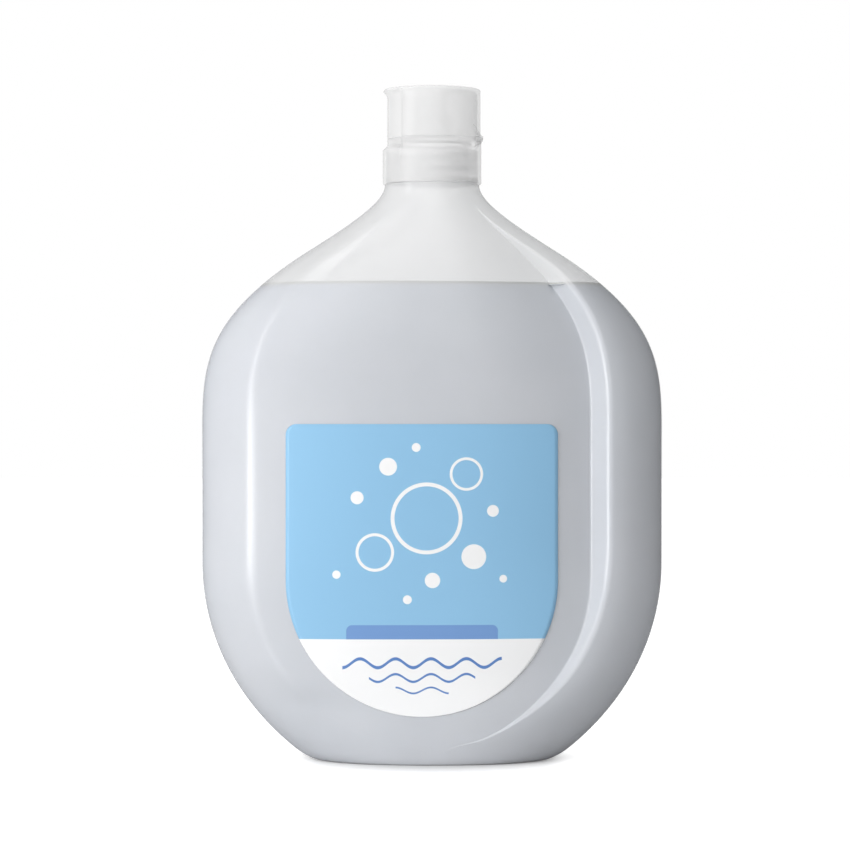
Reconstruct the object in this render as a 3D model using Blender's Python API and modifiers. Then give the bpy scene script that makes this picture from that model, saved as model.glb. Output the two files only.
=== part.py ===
"""Refill bottle of hand soap, one litre, with a flip-top closure.

The bottle stands on Z = 0 with the neck's axis on Z. Its front faces -Y. The closure's hinge is at +X
and the thumb recess at -X. The body is the same after half a turn about Z, so the back has the same
sunken panel as the front.
"""
import bisect
import math

import bmesh
import bpy
from mathutils import Matrix, Vector

MM = 0.001

# Gaps
TOUCH_GAP = 0.3 * MM
LABEL_GAP = 0.2 * MM

# Body, seen from the front
BODY_WIDTH = 159.0 * MM
BODY_DEPTH = 63.2 * MM
BASE_WIDTH = 76.0 * MM
FOOT_WIDTH = 100.6 * MM
FOOT_HEIGHT = 6.3 * MM
FOOT_ANGLE = math.radians(43)
SIDE_BOTTOM = 76.5 * MM
SIDE_TOP = 106.0 * MM
SHOULDER_WIDTH = 85.4 * MM
SHOULDER_HEIGHT = 176.3 * MM
SHOULDER_ANGLE = math.radians(148)
NECK_ROOT_RADIUS = 16.5 * MM
NECK_ROOT_HEIGHT = 198.5 * MM
WALL = 1.0 * MM
STANDING_RIM = 9.0 * MM
PUSH_UP = 1.8 * MM
PUSH_UP_RINGS = ((0.35, 1.0), (0.75, 0.75))

# Lengths of the outline's Bezier handles
BASE_HANDLE = 6.0 * MM
FOOT_HANDLE_BELOW = 3.5 * MM
FOOT_HANDLE_ABOVE = 36.5 * MM
SIDE_BOTTOM_HANDLE_BELOW = 25.0 * MM
SIDE_BOTTOM_HANDLE_ABOVE = 10.0 * MM
SIDE_TOP_HANDLE_BELOW = 22.0 * MM
SIDE_TOP_HANDLE_ABOVE = 28.3 * MM
SHOULDER_HANDLE_BELOW = 46.7 * MM
SHOULDER_HANDLE_ABOVE = 17.0 * MM
NECK_HANDLE = 7.0 * MM

# Roundness of the body's cross-section, and how soon its depth follows its width
ROUND_SECTION = 2.0
BODY_SECTION_WIDE = 2.3
BODY_SECTION_DEEP = 2.1
DEPTH_LEAD = 1.6

# Sunken front panel. Its left edge is a crease, its right edge a wall up to the side band.
# Left of the crease the side runs straight, along a tangent of the oval section
PANEL_LEFT = 0.782
PANEL_RIGHT = 0.684
PANEL_CROWN = 0.88
PANEL_FLATNESS = 2.5
SIDE_TANGENT = 0.89
SIDE_TANGENT_FADE = (0.6, 0.75)
PANEL_TURN_HEIGHT = 60.0 * MM
PANEL_FOOT = 6.5 * MM
PANEL_LEFT_ROUND = 2.6
PANEL_RIGHT_ROUND = 2.2
STEP_SINK = 9.3 * MM
STEP_SLOPE = 1.0
STEP_SLANT_LIMIT = 3.0
STEP_EDGE_MARGIN = 1.2 * MM
STEP_FOOT_SOFTNESS = 0.6 * MM
STEP_TOP_SOFTNESS = 6.0 * MM
SOFTNESS_AT_ENDS = 0.12
PANEL_STARTS = 3.0 * MM
PANEL_FULL_FROM = 45.0 * MM
PANEL_FULL_TO = 164.0 * MM
PANEL_ENDS = 193.0 * MM

# Neck finish under the closure
NECK_RADIUS = 12.6 * MM
NECK_HEIGHT = 211.8 * MM
NECK_FILLET = 0.8 * MM

# Ratchet teeth that keep the closure from turning back
TEETH = 24
TEETH_VALLEY_RADIUS = 13.7 * MM
TEETH_DEPTH = 0.9 * MM
TEETH_RISE = 2.0 * MM
TEETH_PLAY = math.radians(1)
TEETH_SINK = 0.4 * MM
TOOTH_SLOPE_SHARE = 0.92

# Contents
FILL_HEIGHT = 164.5 * MM

# Closure, lower part
COLLAR_RADIUS = 17.1 * MM
COLLAR_WALL = 1.3 * MM
COLLAR_EDGE = 0.5 * MM
COLLAR_HEIGHT = 15.8 * MM
SLEEVE_WALL = 1.05 * MM
SLEEVE_CLEARANCE = 1.45 * MM
SLEEVE_DROP = 10.6 * MM
COLLAR_CROWN = 4.2 * MM
DECK = 1.2 * MM
LINER_THICKNESS = 0.8 * MM
LINER_WIDTH = 1.9 * MM
SPOUT_RADIUS = 7.0 * MM
SPOUT_WALL = 1.0 * MM
SPOUT_HEIGHT = 8.0 * MM

# Closure, lid
LID_RADIUS = 16.8 * MM
LID_WALL = 1.1 * MM
LID_HEIGHT = 16.9 * MM
LID_EDGE = 1.0 * MM
PLUG_WALL = 0.9 * MM
PLUG_REACH = 0.8 * MM
PLUG_TAPER = 0.5 * MM

# Thumb recess at -X, in the lid and in the top of the collar
RECESS_DEPTH = 1.5 * MM
RECESS_HALF_ANGLE = math.radians(52)
RECESS_BLEND = math.radians(5)
RECESS_DROP = 3.3 * MM
LIP_THICKNESS = 1.1 * MM
LIP_BLEND = 2.2 * MM

# Hinge at +X
HINGE_OUT = 0.8 * MM
HINGE_HALF_WIDTH = 8.0 * MM
HINGE_LEAF = 1.6 * MM
HINGE_SINK = 2.3 * MM

# Labels
LABEL_WIDTH = 92.4 * MM
LABEL_TOP = 115.9 * MM
LABEL_BOTTOM = 16.9 * MM
LABEL_CORNER = 3.6 * MM
LABEL_OFFSET = -3.4 * MM
LABEL_THICKNESS = 0.15 * MM

# Mesh fineness
SIDE_COLUMNS = 5
PANEL_COLUMNS = 10
STEP_COLUMNS = 4
TURN_STEPS = 40
LABEL_COLUMNS = 10
LABEL_ROWS = 8
LABEL_ARC_ROWS = 7
OUTLINE_SAMPLES = 40
SLOPE_PROBE = 1.0 * MM
TANGENT_PROBE = 0.1 * MM
CUT_SPARE = 2.0 * MM
CUT_SKIN = 0.01 * MM

# Derived sizes
HALF_WIDTH = BODY_WIDTH / 2
HALF_DEPTH = BODY_DEPTH / 2
COLLAR_BOTTOM = NECK_ROOT_HEIGHT + TOUCH_GAP
DECK_TOP = COLLAR_BOTTOM + COLLAR_HEIGHT
DECK_BOTTOM = DECK_TOP - DECK
LINER_TOP = DECK_BOTTOM - TOUCH_GAP
NECK_TOP = min(NECK_HEIGHT, LINER_TOP - LINER_THICKNESS - TOUCH_GAP)
SLEEVE_RADIUS = NECK_RADIUS + SLEEVE_CLEARANCE
SPOUT_BORE = SPOUT_RADIUS - SPOUT_WALL
SPOUT_TOP = DECK_TOP + SPOUT_HEIGHT
LID_BOTTOM = DECK_TOP + TOUCH_GAP
LID_TOP = LID_BOTTOM + LID_HEIGHT
PLUG_RADIUS = SPOUT_BORE - TOUCH_GAP
HINGE_X = COLLAR_RADIUS + HINGE_OUT
HINGE_Z = DECK_TOP + TOUCH_GAP / 2


def make_collection(name):
    collection = bpy.data.collections.new(name)
    bpy.context.scene.collection.children.link(collection)
    return collection


def plain_plastic(name, colour, roughness, alpha=1.0):
    material = bpy.data.materials.new(name)
    material.use_nodes = True
    shader = material.node_tree.nodes["Principled BSDF"]
    shader.inputs["Base Color"].default_value = (*colour, 1)
    shader.inputs["Roughness"].default_value = roughness
    shader.inputs["Metallic"].default_value = 0
    shader.inputs["Alpha"].default_value = alpha
    material.diffuse_color = (*colour, alpha)
    return material


def add_object(name, mesh, collection, material=None):
    piece = bpy.data.objects.new(name, mesh)
    collection.objects.link(piece)
    if material:
        mesh.materials.append(material)
    return piece


def mesh_from_rings(name, rings, closed_bottom=False, closed_top=False):
    """Skin a list of rings, each with the same number of points, in order up the piece."""
    shell = bmesh.new()
    rows = [[shell.verts.new(point) for point in ring] for ring in rings]
    count = len(rings[0])
    for lower, upper in zip(rows, rows[1:]):
        for i in range(count):
            j = (i + 1) % count
            shell.faces.new((lower[i], lower[j], upper[j], upper[i]))
    if closed_bottom:
        shell.faces.new(reversed(rows[0]))
    if closed_top:
        shell.faces.new(rows[-1])
    mesh = bpy.data.meshes.new(name)
    shell.to_mesh(mesh)
    shell.free()
    return mesh


def smooth(piece, angle=math.radians(35)):
    piece.data.shade_smooth()
    piece.data.set_sharp_from_angle(angle=angle)


def turned(name, profile, collection, steps=TURN_STEPS):
    """Turn a closed profile of (radius, height) points, which runs down its outer side, about Z."""
    mesh = bpy.data.meshes.new(name)
    points = [(radius, 0, height) for radius, height in profile]
    edges = [(i, (i + 1) % len(points)) for i in range(len(points))]
    mesh.from_pydata(points, edges, [])
    piece = add_object(name, mesh, collection)
    screw = piece.modifiers.new("Turn", "SCREW")
    screw.axis = "Z"
    screw.steps = steps
    screw.render_steps = steps
    screw.use_merge_vertices = True
    screw.merge_threshold = 0.00001
    screw.use_normal_calculate = False
    return piece


def boolean(piece, other, operation):
    cut = piece.modifiers.new(operation.title() + " " + other.name, "BOOLEAN")
    cut.operation = operation
    cut.solver = "EXACT"
    cut.object = other


def as_tool(piece):
    piece.hide_render = True
    piece.display_type = "WIRE"


def ease(value, low, high):
    """Rise smoothly from 0 at low to 1 at high."""
    t = min(1.0, max(0.0, (value - low) / (high - low)))
    return t * t * (3 - 2 * t)


def bezier(start, start_pull, end_pull, end, t):
    s = 1 - t
    return start * s ** 3 + start_pull * 3 * s * s * t + end_pull * 3 * s * t * t + end * t ** 3


def direction(angle):
    return Vector((math.cos(angle), math.sin(angle)))


def outline_curves():
    """The right side's outline from the base to the neck, as Bezier curves of (half width, height)."""
    flat = Vector((1, 0))
    upright = Vector((0, 1))
    base = Vector((BASE_WIDTH / 2, 0))
    foot = Vector((FOOT_WIDTH / 2, FOOT_HEIGHT))
    side_low = Vector((HALF_WIDTH, SIDE_BOTTOM))
    side_high = Vector((HALF_WIDTH, SIDE_TOP))
    shoulder = Vector((SHOULDER_WIDTH / 2, SHOULDER_HEIGHT))
    root = Vector((NECK_ROOT_RADIUS, NECK_ROOT_HEIGHT))
    foot_way = direction(FOOT_ANGLE)
    shoulder_way = direction(SHOULDER_ANGLE)
    yield base, base + flat * BASE_HANDLE, foot - foot_way * FOOT_HANDLE_BELOW, foot, 3
    yield (foot, foot + foot_way * FOOT_HANDLE_ABOVE, side_low - upright * SIDE_BOTTOM_HANDLE_BELOW,
           side_low, 7)
    yield (side_low, side_low + upright * SIDE_BOTTOM_HANDLE_ABOVE,
           side_high - upright * SIDE_TOP_HANDLE_BELOW, side_high, 2)
    yield (side_high, side_high + upright * SIDE_TOP_HANDLE_ABOVE,
           shoulder - shoulder_way * SHOULDER_HANDLE_BELOW, shoulder, 8)
    yield (shoulder, shoulder + shoulder_way * SHOULDER_HANDLE_ABOVE, root - upright * NECK_HANDLE,
           root, 6)


def outline_points(samples=None):
    """Points up the outline, at the loft's own rows or at a finer spacing for looking sizes up."""
    points = [Vector((BASE_WIDTH / 2, 0))]
    for start, start_pull, end_pull, end, steps in outline_curves():
        count = samples or steps
        points += [bezier(start, start_pull, end_pull, end, (i + 1) / count) for i in range(count)]
    return points


FINE_OUTLINE = outline_points(OUTLINE_SAMPLES)
FINE_HEIGHTS = [point.y for point in FINE_OUTLINE]


def half_width(height):
    """Half the body's width at a height, read from the outline."""
    i = min(len(FINE_HEIGHTS) - 1, max(1, bisect.bisect_left(FINE_HEIGHTS, height)))
    low, high = FINE_OUTLINE[i - 1], FINE_OUTLINE[i]
    return low.x + (high.x - low.x) * (height - low.y) / max(high.y - low.y, 1e-9)


def soft_minimum(first, second, softness):
    """The smaller of two depths, with the corner between them rounded off."""
    overlap = max(softness - abs(first - second), 0) / softness
    return min(first, second) - overlap * overlap * softness / 4


def soft_maximum(first, second, softness):
    return -soft_minimum(-first, -second, softness)


class Level:
    """One level of the body: its plain oval and the panel that is sunk into its front."""

    def __init__(self, height, width=None):
        self.height = height
        self.width = width or half_width(height)
        full = min(1.0, max(0.0, (self.width - NECK_ROOT_RADIUS) / (HALF_WIDTH - NECK_ROOT_RADIUS)))
        self.deep = NECK_ROOT_RADIUS + (HALF_DEPTH - NECK_ROOT_RADIUS) * (1 - (1 - full) ** DEPTH_LEAD)
        self.wide_power = ROUND_SECTION + (BODY_SECTION_WIDE - ROUND_SECTION) * full
        self.deep_power = ROUND_SECTION + (BODY_SECTION_DEEP - ROUND_SECTION) * full
        self.strength = ease(height, PANEL_STARTS, PANEL_FULL_FROM)
        self.strength *= 1 - ease(height, PANEL_FULL_TO, PANEL_ENDS)
        self.softness = max(SOFTNESS_AT_ENDS, self.strength)
        self.set_edges()
        self.left_depth = self.side(self.left)
        self.right_depth = self.oval(self.right) - STEP_SINK
        self.crown = self.oval(0) * PANEL_CROWN - (self.left_depth + self.right_depth) / 2
        self.foot = self.panel(self.right)
        reach = (STEP_SINK + STEP_TOP_SOFTNESS) * self.softness / (self.wall_slope + STEP_SLOPE / 3)
        self.step_end = min(self.right + reach, self.width - STEP_EDGE_MARGIN)

    def set_edges(self):
        """X of the panel's left crease and of its right wall's foot, and how steep that wall is."""
        turn = PANEL_TURN_HEIGHT - PANEL_FOOT
        sink = min(0.999, max(0.0, (PANEL_TURN_HEIGHT - self.height) / turn))
        left_share = (1 - sink ** PANEL_LEFT_ROUND) ** (1 / PANEL_LEFT_ROUND)
        right_share = (1 - sink ** PANEL_RIGHT_ROUND) ** (1 / PANEL_RIGHT_ROUND)
        self.left = -self.width * PANEL_LEFT * left_share
        self.right = self.width * PANEL_RIGHT * right_share
        rise = half_width(self.height + SLOPE_PROBE) - half_width(self.height - SLOPE_PROBE)
        slope = rise / (2 * SLOPE_PROBE) * self.right / self.width
        if sink > 0:
            slope += self.right * sink ** (PANEL_RIGHT_ROUND - 1) / ((1 - sink ** PANEL_RIGHT_ROUND) * turn)
        self.wall_slope = STEP_SLOPE / min(STEP_SLANT_LIMIT, math.sqrt(1 + slope * slope))

    def oval(self, x):
        """Depth of the plain oval body in front of the neck's axis."""
        share = min(1.0, abs(x) / self.width)
        return self.deep * (1 - share ** self.wide_power) ** (1 / self.deep_power)

    def side(self, x):
        """The left side: the oval, run on straight to the crease along a tangent."""
        touch = -self.width * SIDE_TANGENT
        if x <= touch:
            return self.oval(x)
        rise = self.oval(touch + TANGENT_PROBE) - self.oval(touch - TANGENT_PROBE)
        tangent = self.oval(touch) + rise / (2 * TANGENT_PROBE) * (x - touch)
        return self.oval(x) + (tangent - self.oval(x)) * ease(-self.left / self.width, *SIDE_TANGENT_FADE)

    def panel(self, x):
        """The panel: a straight line between its edges and a crown on it, faded into the oval."""
        along = (x - self.left) / (self.right - self.left)
        formed = self.left_depth + (self.right_depth - self.left_depth) * along
        formed += self.crown * (1 - abs(2 * along - 1) ** PANEL_FLATNESS)
        return self.oval(x) + (formed - self.oval(x)) * self.strength

    def front(self, x):
        """Depth of the front face in front of the neck's axis."""
        plain = self.oval(x)
        if x < self.left:
            return plain + (self.side(x) - plain) * self.strength
        if x < (self.left + self.right) / 2:
            return self.panel(x)
        wall = self.foot + (x - self.right) * self.wall_slope
        band = soft_minimum(wall, plain, STEP_TOP_SOFTNESS * self.softness)
        return soft_maximum(self.panel(x), band, STEP_FOOT_SOFTNESS * self.softness)

    def columns(self):
        """X of each point across the front face, from the left edge up to just short of the right."""
        left_angle = math.acos(self.left / self.width)
        end_angle = math.acos(self.step_end / self.width)
        columns = [self.width * math.cos(math.pi + (left_angle - math.pi) * i / SIDE_COLUMNS)
                   for i in range(SIDE_COLUMNS)]
        columns += [self.left + (self.right - self.left) * i / PANEL_COLUMNS for i in range(PANEL_COLUMNS)]
        columns += [self.right + (self.step_end - self.right) * i / STEP_COLUMNS
                    for i in range(STEP_COLUMNS)]
        columns += [self.width * math.cos(end_angle * (1 - i / SIDE_COLUMNS)) for i in range(SIDE_COLUMNS)]
        return columns

    def ring(self):
        """One closed ring of the body, front half and the same turned half a turn."""
        half = [Vector((x, -self.front(x), self.height)) for x in self.columns()]
        return half + [Vector((-point.x, -point.y, point.z)) for point in half]


def body_rings():
    return [Level(point.y, point.x).ring() for point in outline_points()]


def shrunk(ring, share, height):
    return [Vector((point.x * share, point.y * share, height)) for point in ring]


def round_ring(ring, radius, height):
    """A circle whose points lie in the same directions as the points of another ring."""
    return [Vector((*point.xy.normalized() * radius, height)) for point in ring]


def base_rings(foot_ring):
    """The base from its middle out: a shallow push-up inside the flat standing rim."""
    reach = BASE_WIDTH / 2
    rim_share = (reach - STANDING_RIM) / reach
    inner = [shrunk(foot_ring, rim_share * share, PUSH_UP * rise) for share, rise in PUSH_UP_RINGS]
    return inner + [shrunk(foot_ring, rim_share, 0)]


def neck_rings(root_ring):
    """The ledge above the shoulder and the neck that stands on it."""
    return [
        round_ring(root_ring, NECK_ROOT_RADIUS - NECK_FILLET * 0.3, NECK_ROOT_HEIGHT + NECK_FILLET * 0.1),
        round_ring(root_ring, NECK_RADIUS + NECK_FILLET, NECK_ROOT_HEIGHT + NECK_FILLET * 0.1),
        round_ring(root_ring, NECK_RADIUS, NECK_ROOT_HEIGHT + NECK_FILLET),
        round_ring(root_ring, NECK_RADIUS, NECK_TOP),
    ]


def ratchet_outline(extra, turn):
    """One turn of sawteeth, as (x, y) points."""
    points = []
    for i in range(TEETH):
        start = math.tau * i / TEETH + turn
        for share, rise in ((0.0, 0.0), (TOOTH_SLOPE_SHARE, 1.0)):
            angle = start + math.tau / TEETH * share
            radius = TEETH_VALLEY_RADIUS + extra + TEETH_DEPTH * rise
            points.append(Vector((math.cos(angle) * radius, math.sin(angle) * radius)))
    return points


def ratchet_ring(name, outside, inside, bottom, top, collection):
    """A toothed band between two outlines with the same number of points."""
    levels = ((outside, bottom), (outside, top), (inside, top), (inside, bottom))
    rings = [[Vector((*point, height)) for point in outline] for outline, height in levels]
    mesh = mesh_from_rings(name, rings + [rings[0]])
    band = bmesh.new()
    band.from_mesh(mesh)
    bmesh.ops.remove_doubles(band, verts=band.verts, dist=0.000001)
    band.to_mesh(mesh)
    band.free()
    return add_object(name, mesh, collection)


def build_bottle(collection, tools):
    rings = body_rings()
    rings = base_rings(rings[0]) + rings + neck_rings(rings[-1])
    material = plain_plastic("natural bottle plastic", (0.86, 0.87, 0.89), 0.35, 0.6)
    bottle = add_object("bottle", mesh_from_rings("bottle", rings, closed_bottom=True), collection, material)
    shell = bottle.modifiers.new("Wall", "SOLIDIFY")
    shell.thickness = WALL
    shell.offset = -1
    teeth_outside = ratchet_outline(0, 0)
    teeth_inside = [point.normalized() * (NECK_RADIUS - TEETH_SINK) for point in teeth_outside]
    ledge = NECK_ROOT_HEIGHT - TEETH_SINK
    teeth = ratchet_ring("bottle_ratchet", teeth_outside, teeth_inside, ledge,
                         NECK_ROOT_HEIGHT + TEETH_RISE, tools)
    as_tool(teeth)
    boolean(bottle, teeth, "UNION")
    smooth(bottle)
    return bottle


def build_soap(collection):
    """The liquid: the body's form, drawn in by the wall and a gap, and cut level at the fill line."""
    rings = body_rings()
    mesh = mesh_from_rings("soap", base_rings(rings[0]) + rings, closed_bottom=True)
    liquid = bmesh.new()
    liquid.from_mesh(mesh)
    liquid.normal_update()
    inward = WALL + TOUCH_GAP
    places = [vertex.co - vertex.normal * inward for vertex in liquid.verts]
    for vertex, place in zip(liquid.verts, places):
        vertex.co = place
    geometry = liquid.verts[:] + liquid.edges[:] + liquid.faces[:]
    cut = bmesh.ops.bisect_plane(liquid, geom=geometry, plane_co=(0, 0, FILL_HEIGHT),
                                 plane_no=(0, 0, 1), clear_outer=True)
    rim = [item for item in cut["geom_cut"] if isinstance(item, bmesh.types.BMEdge)]
    bmesh.ops.edgeloop_fill(liquid, edges=rim)
    bmesh.ops.recalc_face_normals(liquid, faces=liquid.faces)
    liquid.to_mesh(mesh)
    liquid.free()
    soap = add_object("soap", mesh, collection, plain_plastic("clear soap", (0.72, 0.76, 0.82), 0.1, 0.5))
    smooth(soap)
    return soap


def recess_depth(angle):
    """Depth of the thumb recess at an angle about Z, with its middle at -X."""
    away = abs(math.remainder(angle - math.pi, math.tau))
    return RECESS_DEPTH * (1 - ease(away, RECESS_HALF_ANGLE - RECESS_BLEND, RECESS_HALF_ANGLE))


def recess_angles():
    """Angles round the lid, with extra ones where the recess begins."""
    plain = [math.tau * i / TURN_STEPS for i in range(TURN_STEPS)]
    start = math.pi - RECESS_HALF_ANGLE
    end = math.pi + RECESS_HALF_ANGLE
    edges = [start, start + RECESS_BLEND / 2, start + RECESS_BLEND,
             end - RECESS_BLEND, end - RECESS_BLEND / 2, end]
    clear = math.radians(2.5)
    kept = [angle for angle in plain if all(abs(angle - edge) > clear for edge in edges)]
    return sorted(kept + edges)


def hinge_leaf(name, flat_height, tip_height, inner, collection):
    """One leaf of the hinge: a wedge that stands out to the hinge's axis at flat_height."""
    section = ((inner, flat_height), (HINGE_X, flat_height), (inner, tip_height))
    ends = [[Vector((x, y, z)) for x, z in section] for y in (-HINGE_HALF_WIDTH, HINGE_HALF_WIDTH)]
    leaf = bmesh.new()
    rows = [[leaf.verts.new(point) for point in end] for end in ends]
    leaf.faces.new(rows[0])
    leaf.faces.new(reversed(rows[1]))
    for i in range(len(section)):
        j = (i + 1) % len(section)
        leaf.faces.new((rows[0][j], rows[0][i], rows[1][i], rows[1][j]))
    bmesh.ops.recalc_face_normals(leaf, faces=leaf.faces)
    mesh = bpy.data.meshes.new(name)
    leaf.to_mesh(mesh)
    leaf.free()
    tool = add_object(name, mesh, collection)
    as_tool(tool)
    return tool


def build_closure_base(collection, tools):
    crown = DECK_TOP - COLLAR_CROWN
    sleeve_bottom = DECK_BOTTOM - SLEEVE_DROP
    inner = COLLAR_RADIUS - COLLAR_WALL
    sleeve_outer = SLEEVE_RADIUS + SLEEVE_WALL
    profile = [
        (SPOUT_BORE, SPOUT_TOP),
        (SPOUT_RADIUS, SPOUT_TOP),
        (SPOUT_RADIUS, DECK_TOP),
        (COLLAR_RADIUS - COLLAR_EDGE, DECK_TOP),
        (COLLAR_RADIUS, DECK_TOP - COLLAR_EDGE),
        (COLLAR_RADIUS, COLLAR_BOTTOM + COLLAR_EDGE),
        (COLLAR_RADIUS - COLLAR_EDGE, COLLAR_BOTTOM),
        (inner, COLLAR_BOTTOM),
        (inner, crown),
        (sleeve_outer, crown),
        (sleeve_outer, sleeve_bottom),
        (SLEEVE_RADIUS, sleeve_bottom),
        (SLEEVE_RADIUS, DECK_BOTTOM),
        (SPOUT_BORE, DECK_BOTTOM),
    ]
    base = turned("closure_base", profile, collection)
    material = plain_plastic("natural closure plastic", (0.9, 0.9, 0.9), 0.3, 0.7)
    base.data.materials.append(material)

    angles = [angle for angle in recess_angles() if recess_depth(angle) > 0]
    angles = [math.pi - RECESS_HALF_ANGLE] + angles + [math.pi + RECESS_HALF_ANGLE]
    outer = [Vector((math.cos(angle), math.sin(angle))) * (COLLAR_RADIUS + CUT_SPARE) for angle in angles]
    wall = [Vector((math.cos(angle), math.sin(angle))) * (COLLAR_RADIUS + CUT_SKIN - recess_wall(angle))
            for angle in angles]
    loop = wall + outer[::-1]
    floor = DECK_TOP - RECESS_DROP
    rings = [[Vector((*point, height)) for point in loop] for height in (floor, DECK_TOP + CUT_SPARE)]
    mesh = mesh_from_rings("collar_recess", rings, closed_bottom=True, closed_top=True)
    recess = bmesh.new()
    recess.from_mesh(mesh)
    bmesh.ops.recalc_face_normals(recess, faces=recess.faces)
    recess.to_mesh(mesh)
    recess.free()
    cutter = add_object("collar_recess", mesh, tools)
    as_tool(cutter)
    boolean(base, cutter, "DIFFERENCE")

    tooth_space = ratchet_outline(TOUCH_GAP * 1.2, TEETH_PLAY)
    tooth_back = [point.normalized() * (inner + COLLAR_WALL / 2) for point in tooth_space]
    teeth = ratchet_ring("collar_ratchet", tooth_back, tooth_space, COLLAR_BOTTOM + COLLAR_EDGE,
                         COLLAR_BOTTOM + TEETH_RISE, tools)
    as_tool(teeth)
    boolean(base, teeth, "UNION")
    leaf = hinge_leaf("collar_hinge_leaf", DECK_TOP, DECK_TOP - HINGE_LEAF,
                      COLLAR_RADIUS - HINGE_SINK, tools)
    boolean(base, leaf, "UNION")
    smooth(base)
    return base


def recess_wall(angle):
    """How far the collar is cut back at an angle: its recess and its greater radius than the lid's."""
    return recess_depth(angle) + (COLLAR_RADIUS - LID_RADIUS) * (recess_depth(angle) > 0)


def build_liner(collection):
    outer = SLEEVE_RADIUS - TOUCH_GAP
    profile = [
        (outer, LINER_TOP),
        (outer, LINER_TOP - LINER_THICKNESS),
        (outer - LINER_WIDTH, LINER_TOP - LINER_THICKNESS),
        (outer - LINER_WIDTH, LINER_TOP),
    ]
    liner = turned("closure_liner", profile, collection)
    liner.data.materials.append(plain_plastic("white foam", (0.85, 0.85, 0.85), 0.8))
    smooth(liner)
    return liner


def lid_ring(radius, height, lip_share):
    """A ring of the lid, drawn in at the thumb recess by lip_share of its depth."""
    ring = []
    for angle in recess_angles():
        reach = radius - recess_depth(angle) * lip_share
        ring.append(Vector((math.cos(angle) * reach, math.sin(angle) * reach, height)))
    return ring


def build_lid(collection, tools):
    lip_bottom = LID_TOP - LID_EDGE - LIP_THICKNESS
    levels = [
        (LID_RADIUS, LID_BOTTOM, 1.0),
        (LID_RADIUS, lip_bottom - LIP_BLEND, 1.0),
        (LID_RADIUS, lip_bottom - LIP_BLEND * 0.3, 0.7),
        (LID_RADIUS, lip_bottom, 0.0),
        (LID_RADIUS, LID_TOP - LID_EDGE, 0.0),
        (LID_RADIUS - LID_EDGE * 0.3, LID_TOP - LID_EDGE * 0.3, 0.0),
        (LID_RADIUS - LID_EDGE, LID_TOP, 0.0),
        (LID_RADIUS * 0.5, LID_TOP, 0.0),
    ]
    rings = [lid_ring(radius, height, share) for radius, height, share in levels]
    material = plain_plastic("natural lid plastic", (0.92, 0.92, 0.92), 0.3, 0.7)
    lid = add_object("flip_lid", mesh_from_rings("flip_lid", rings, closed_top=True), collection, material)
    shell = lid.modifiers.new("Wall", "SOLIDIFY")
    shell.thickness = LID_WALL
    shell.offset = -1
    shell.use_even_offset = True

    plug_top = LID_TOP - LID_WALL / 2
    plug_bottom = SPOUT_TOP - PLUG_REACH
    plug = turned("lid_plug", [
        (PLUG_RADIUS, plug_top),
        (PLUG_RADIUS, SPOUT_TOP),
        (PLUG_RADIUS - PLUG_TAPER, plug_bottom),
        (PLUG_RADIUS - PLUG_WALL - PLUG_TAPER * 0.2, plug_bottom),
        (PLUG_RADIUS - PLUG_WALL, plug_top),
    ], tools)
    as_tool(plug)
    boolean(lid, plug, "UNION")
    leaf = hinge_leaf("lid_hinge_leaf", LID_BOTTOM, LID_BOTTOM + HINGE_LEAF,
                      LID_RADIUS - HINGE_SINK, tools)
    boolean(lid, leaf, "UNION")
    smooth(lid)
    return lid


def label_rows():
    """Heights up the label and half its width at each: a half round below, small corners above."""
    radius = LABEL_WIDTH / 2
    centre = LABEL_BOTTOM + radius
    rows = []
    for i in range(LABEL_ARC_ROWS):
        angle = math.pi / 2 * i / LABEL_ARC_ROWS
        rows.append((centre - radius * math.cos(angle), radius * math.sin(angle)))
    straight_top = LABEL_TOP - LABEL_CORNER
    rows += [(centre + (straight_top - centre) * i / LABEL_ROWS, radius) for i in range(LABEL_ROWS + 1)]
    for i in range(1, 4):
        angle = math.pi / 2 * i / 3
        rows.append((straight_top + LABEL_CORNER * math.sin(angle),
                     radius - LABEL_CORNER * (1 - math.cos(angle))))
    return rows


def build_label(name, collection, turn):
    """A film on the front panel, or on the back one after half a turn about Z."""
    film = bmesh.new()
    rows = []
    for height, half in label_rows():
        level = Level(height)
        row = []
        for i in range(LABEL_COLUMNS + 1):
            x = LABEL_OFFSET + half * (2 * i / LABEL_COLUMNS - 1)
            row.append(film.verts.new((x, -level.front(x) - LABEL_GAP, height)))
        rows.append(row)
    for lower, upper in zip(rows, rows[1:]):
        for i in range(LABEL_COLUMNS):
            film.faces.new((lower[i], lower[i + 1], upper[i + 1], upper[i]))
    bmesh.ops.remove_doubles(film, verts=film.verts, dist=0.00001)
    bmesh.ops.rotate(film, verts=film.verts, cent=(0, 0, 0), matrix=Matrix.Rotation(turn, 3, "Z"))
    mesh = bpy.data.meshes.new(name)
    film.to_mesh(mesh)
    film.free()
    label = add_object(name, mesh, collection, plain_plastic(name + " film", (0.35, 0.58, 0.84), 0.4))
    sheet = label.modifiers.new("Film", "SOLIDIFY")
    sheet.thickness = LABEL_THICKNESS
    sheet.offset = 1
    smooth(label)
    return label


def place_on_hinge(piece):
    """Put a piece's origin on the hinge's axis, with its shape where it was."""
    hinge = Vector((HINGE_X, 0, HINGE_Z))
    piece.data.transform(Matrix.Translation(-hinge))
    piece.location = hinge


def main():
    for item in list(bpy.data.objects):
        bpy.data.objects.remove(item, do_unlink=True)
    parts = make_collection("hand soap refill")
    tools = make_collection("cutters and joined shapes")
    build_bottle(parts, tools)
    build_soap(parts)
    build_closure_base(parts, tools)
    build_liner(parts)
    place_on_hinge(build_lid(parts, tools))
    build_label("front_label", parts, 0)
    build_label("back_label", parts, math.pi)


main()
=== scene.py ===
import math

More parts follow.
